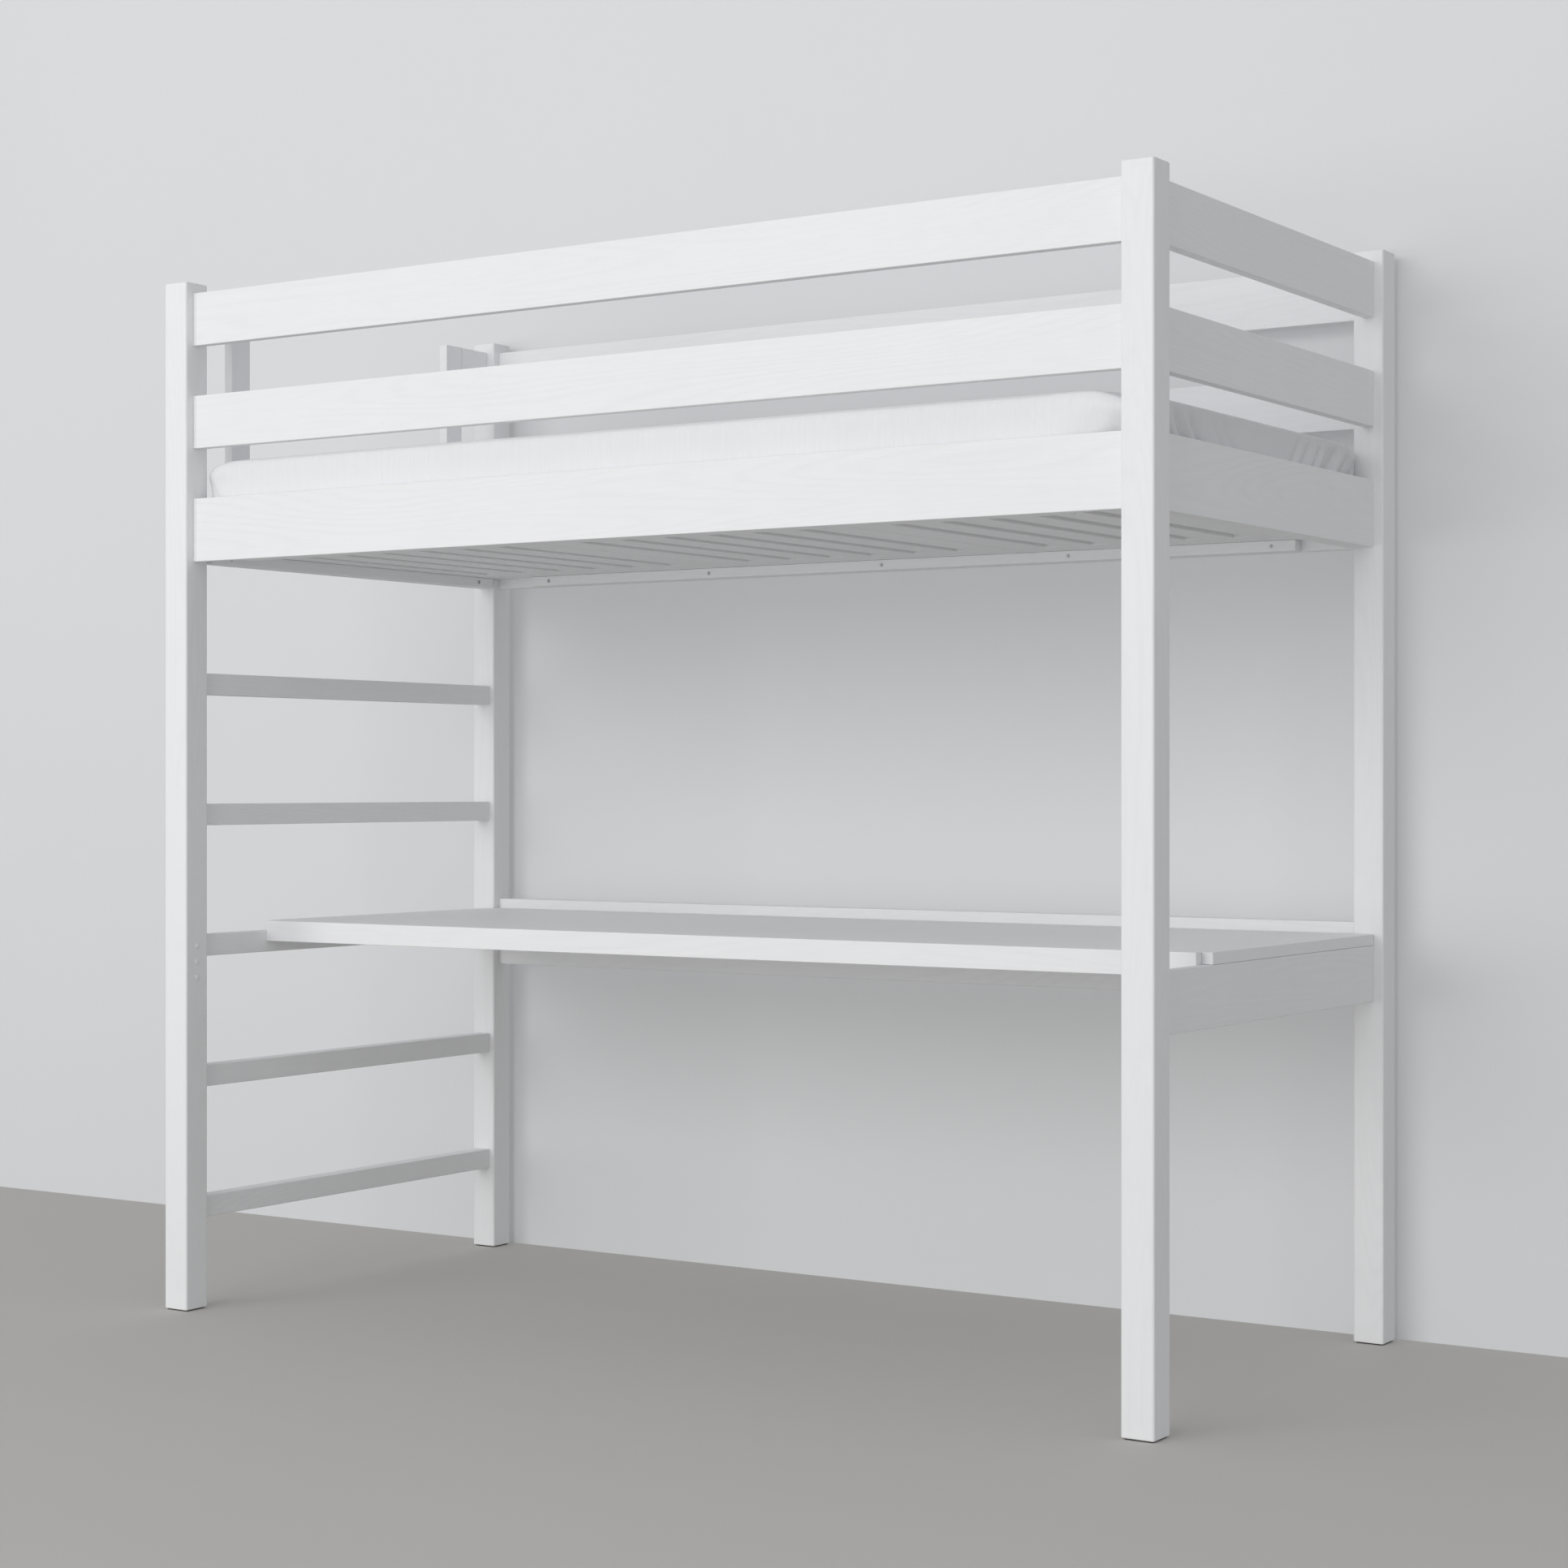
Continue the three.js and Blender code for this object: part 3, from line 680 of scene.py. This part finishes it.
mattressForm = {
    "slack": 0.0025,         # the pad starts this much smaller all round, then swells
    "voxel": 0.0155,         # side of the even faces that the pad is rebuilt from
    "pressure": 4.0,
    "frames": 20,
    "mostMove": 0.003,       # how far a point may move
    "bend": 0.6,
    "stretch": 15.0,
    "edgeTurn": 0.94,        # faces turned further than this from an axis are held as edges
    "dents": 0.0016,
    "shoulder": 0.0075,      # these two make up for the rounding that the even faces bring
    "cornerFill": 0.0028,
    "cornerRadius": 0.065,
    "headDrop": 0.009,       # the top falls away towards the closed end
    "cornerDrop": 0.011,     # and towards the corners
    "edgeBand": 0.014,       # below the top, where the folds begin
    "foldIn": 0.036,         # the folds reach their full depth over this height
    "sideBand": (0.045, 0.012),   # from the outline inwards, where the folds fade out
    "pleatSpacing": 0.058,
    "pleatDepth": 0.014,
    "pleatReach": 0.42,      # from the corner along the short side
    "pleatFull": 0.16,       # as deep as they get up to here
    "pleatLean": 1.25,       # how far a pleat runs away from the corner on its way down
    "leanStart": 0.05,       # the lean sets in over this height
    "pleatSide": 0.10,       # from the corner along the long side
    "sideShare": 0.30,       # how deep the folds on the long side are beside the others
    "pullIn": 0.017,         # the elastic draws the corners in towards the bottom
    "pullReach": 0.17,
    "ladderEndPull": 0.12,   # share of the pull at the ladder end
    "clearance": 0.0004,
    "hemRise": 0.0022,       # thickness of the elastic at the hem
    "gatherPitch": 0.021,
    "gatherRise": 0.0013,
}


def meshOf(piece):
    ready = piece.evaluated_get(bpy.context.evaluated_depsgraph_get())
    return bpy.data.meshes.new_from_object(ready)


def pointsOf(mesh):
    flat = np.zeros(len(mesh.vertices) * 3)
    mesh.vertices.foreach_get("co", flat)
    return flat.reshape(-1, 3)


def movePoints(mesh, points):
    mesh.vertices.foreach_set("co", np.asarray(points, np.float32).ravel())
    mesh.update()


def applyModifiers(piece):
    made = meshOf(piece)
    piece.modifiers.clear()
    piece.data = made


def smoothStep(low, high, values):
    share = np.clip((values - low) / (high - low), 0, 1)
    return share * share * (3 - 2 * share)


def swellPad(pad):
    # held along its edges, so that the top crowns and the sides bulge between them
    start = pointsOf(pad.data)
    outward = np.array([v.normal for v in pad.data.vertices])
    held = pad.vertex_groups.new(name="edges")
    turned = np.flatnonzero(np.abs(outward).max(1) < mattressForm["edgeTurn"])
    held.add([int(index) for index in turned], 1.0, "REPLACE")
    cloth = pad.modifiers.new("swell", "CLOTH")
    how = cloth.settings
    how.use_pressure = True
    how.uniform_pressure_force = mattressForm["pressure"]
    how.effector_weights.gravity = 0
    how.tension_stiffness = how.compression_stiffness = mattressForm["stretch"]
    how.bending_stiffness = mattressForm["bend"]
    how.vertex_group_mass = held.name
    scene = bpy.context.scene
    cloth.point_cache.frame_start = 1
    cloth.point_cache.frame_end = mattressForm["frames"]
    for step in range(1, mattressForm["frames"] + 1):
        scene.frame_set(step)
    moved = pointsOf(meshOf(pad)) - start
    pad.modifiers.clear()
    pad.vertex_groups.clear()
    scene.frame_set(1)
    out = np.sum(moved * outward, axis=1)
    most = mattressForm["mostMove"]
    movePoints(pad.data, start + outward * (most * np.tanh(out / most))[:, None])


def roundOutline(across, half, radius):
    # for points in plan: distance inside the rounded outline, the outward direction, and the way
    # along the outline from the middle of the nearest corner, positive along the short side
    core = half - radius
    beyond = np.abs(across) - core
    both = np.maximum(beyond, 0)
    reach = np.linalg.norm(both, axis=1)
    inside = radius - reach - np.minimum(np.max(beyond, axis=1), 0)
    outward = np.where(reach[:, None] > 1e-6, both / np.maximum(reach, 1e-6)[:, None],
                       np.where((beyond[:, :1] > beyond[:, 1:]), [[1.0, 0.0]], [[0.0, 1.0]]))
    turn = np.arctan2(both[:, 1], both[:, 0])
    along = radius * (pi / 4 - turn)
    along = along + np.maximum(-beyond[:, 1], 0) - np.maximum(-beyond[:, 0], 0)
    return inside, outward * np.sign(across), along


def pleatCorners(points, low, high):
    form = mattressForm
    middle, half = (low + high) / 2, (high - low) / 2
    across = points[:, :2] - middle[:2]
    inside, outward, along = roundOutline(across, half[:2], form["cornerRadius"])
    below = high[2] - points[:, 2]
    side = smoothStep(*form["sideBand"], inside)              # only the upright sides move
    drop = smoothStep(form["edgeBand"], form["edgeBand"] + form["foldIn"], below)
    corner = 2 * (across[:, 0] > 0) + (across[:, 1] > 0)      # each corner has its own folds
    depth = np.maximum(below - form["edgeBand"], 0)
    lean = form["pleatLean"] * depth ** 2 / (depth + form["leanStart"])
    way = along - lean * np.sign(along)
    beat = way / form["pleatSpacing"]
    beat = beat + 0.22 * np.sin(beat * 1.7 + corner * 2.1) + 0.13 * np.sin(beat * 3.9 + corner * 4.4)
    lobe = np.abs(np.sin(pi * beat)) ** 0.75
    nearShort = smoothStep(form["pleatReach"], form["pleatFull"], along)
    nearShort = nearShort * smoothStep(-0.03, 0.05, along)
    nearLong = smoothStep(-form["pleatSide"], -0.03, along) * smoothStep(0.0, -0.04, along)
    nearLong = form["sideShare"] * nearLong
    strength = np.maximum(nearShort, nearLong) * (0.72 + 0.28 * np.sin(beat * 2.3 + corner))
    inward = form["pleatDepth"] * strength * drop * (1 - lobe)
    tucked = np.where(across[:, 0] > 0, 1.0, form["ladderEndPull"])
    nearCorner = smoothStep(form["pullReach"], 0.02, np.abs(along))
    pull = form["pullIn"] * tucked * nearCorner * smoothStep(0.03, 0.11, below)
    bottom = smoothStep(0.0, 0.03, points[:, 2] - low[2])
    moved = points.copy()
    moved[:, :2] -= outward * ((inward + pull) * side * (0.35 + 0.65 * bottom))[:, None]
    return moved


def turnHem(points, low, high):
    # a thin gathered band of the sheet all round the underside
    form, width = mattressForm, sheetLook["hemWidth"]
    gaps = np.minimum(high[:2] - points[:, :2], points[:, :2] - low[:2])
    inside = gaps.min(1)
    run = np.where(gaps[:, 0] < gaps[:, 1], points[:, 1], points[:, 0])
    under = smoothStep(0.005, 0.001, points[:, 2] - low[2])
    past = smoothStep(width - 0.004, width + 0.005, inside)
    gather = np.abs(np.sin(pi * (run + 0.004 * np.sin(run * 37)) / form["gatherPitch"]))
    puffed = gather * (1 - past) * smoothStep(0.025, width, inside)
    rise = form["hemRise"] * past + form["gatherRise"] * puffed
    points[:, 2] += rise * under
    return points


def settleTop(mesh, low, high):
    # shallow dents, full shoulders, and a top that falls away at the corners and the closed end
    form = mattressForm
    points = pointsOf(mesh)
    dents = np.array([noise.noise((x * 4.5, y * 4.5, z * 9)) + 0.5 * noise.noise((x * 11, y * 11, 3))
                      for x, y, z in points])
    outward = np.array([v.normal for v in mesh.vertices])
    slope = np.abs(outward)
    upper = smoothStep(0.02, 0.10, points[:, 2] - low[2])     # the underside stays flat
    turned = np.clip(np.minimum(1 - slope[:, 2], slope[:, 2]) * 3.4, 0, 1)
    corner = np.minimum(slope[:, 0], slope[:, 1]) * 1.4
    grow = upper * (form["shoulder"] * turned - form["dents"] * (0.5 + 0.5 * dents))
    grow = grow + form["cornerFill"] * corner
    points = np.clip(points + outward * grow[:, None], low, high)
    nearHead = smoothStep(high[0] - 0.09, high[0] - 0.01, points[:, 0])
    points[:, 2] -= form["headDrop"] * upper * nearHead
    gaps = np.minimum(high[:2] - points[:, :2], points[:, :2] - low[:2])
    nearCorner = smoothStep(0.10, 0.015, np.linalg.norm(gaps, axis=1))
    points[:, 2] -= form["cornerDrop"] * upper * nearCorner
    movePoints(mesh, points)


def refineSides(mesh, low, high):
    # finer faces where the pleats are
    shape = bmesh.new()
    shape.from_mesh(mesh)
    ends = high[0] - 0.16
    edges = [edge for edge in shape.edges
             if all(abs(v.co.x) > ends and v.co.z > low[2] + 0.02 for v in edge.verts)
             and any(abs(v.co.x) > high[0] - 0.03 or abs(v.co.y) > high[1] - 0.03
                     for v in edge.verts)]
    bmesh.ops.subdivide_edges(shape, edges=edges, cuts=1, use_grid_fill=True, smooth=0.0)
    shape.to_mesh(mesh)
    shape.free()


def sewMattress():
    form = mattressForm
    low, high = (np.array(corner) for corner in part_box("mattress"))
    middle, half = (low + high) / 2, (high - low) / 2
    pad = bpy.data.objects.new("fitted_mattress", nodes["mattress"].data.copy())
    bpy.context.scene.collection.objects.link(pad)
    movePoints(pad.data, middle + (pointsOf(pad.data) - middle) * (half - form["slack"]) / half)
    weld = pad.modifiers.new("weld", "WELD")
    weld.merge_threshold = mergeDistance
    remesh = pad.modifiers.new("evenFaces", "REMESH")
    remesh.mode = "VOXEL"
    remesh.voxel_size = form["voxel"]
    applyModifiers(pad)
    print("mattress faces:", len(pad.data.polygons))
    swellPad(pad)
    print("mattress swollen")
    finer = pad.modifiers.new("finer", "SUBSURF")
    finer.levels = finer.render_levels = 1
    applyModifiers(pad)
    points = pointsOf(pad.data)
    reach = np.maximum(np.abs(points - middle).max(0), 1e-6)
    movePoints(pad.data, middle + (points - middle) * (half - form["clearance"]) / reach)
    settleTop(pad.data, low, high)
    refineSides(pad.data, low, high)
    points = turnHem(pleatCorners(pointsOf(pad.data), low, high), low, high)
    movePoints(pad.data, np.clip(points, low + form["clearance"], high - form["clearance"]))
    for face in pad.data.polygons:
        face.use_smooth = True
    pad.data.materials.clear()
    pad.data.materials.append(sheetCotton())
    print("mattress finished:", len(pad.data.polygons), "faces")
    return pad


fittedMattress = sewMattress()
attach(fittedMattress, "mattress")
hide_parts("mattress")
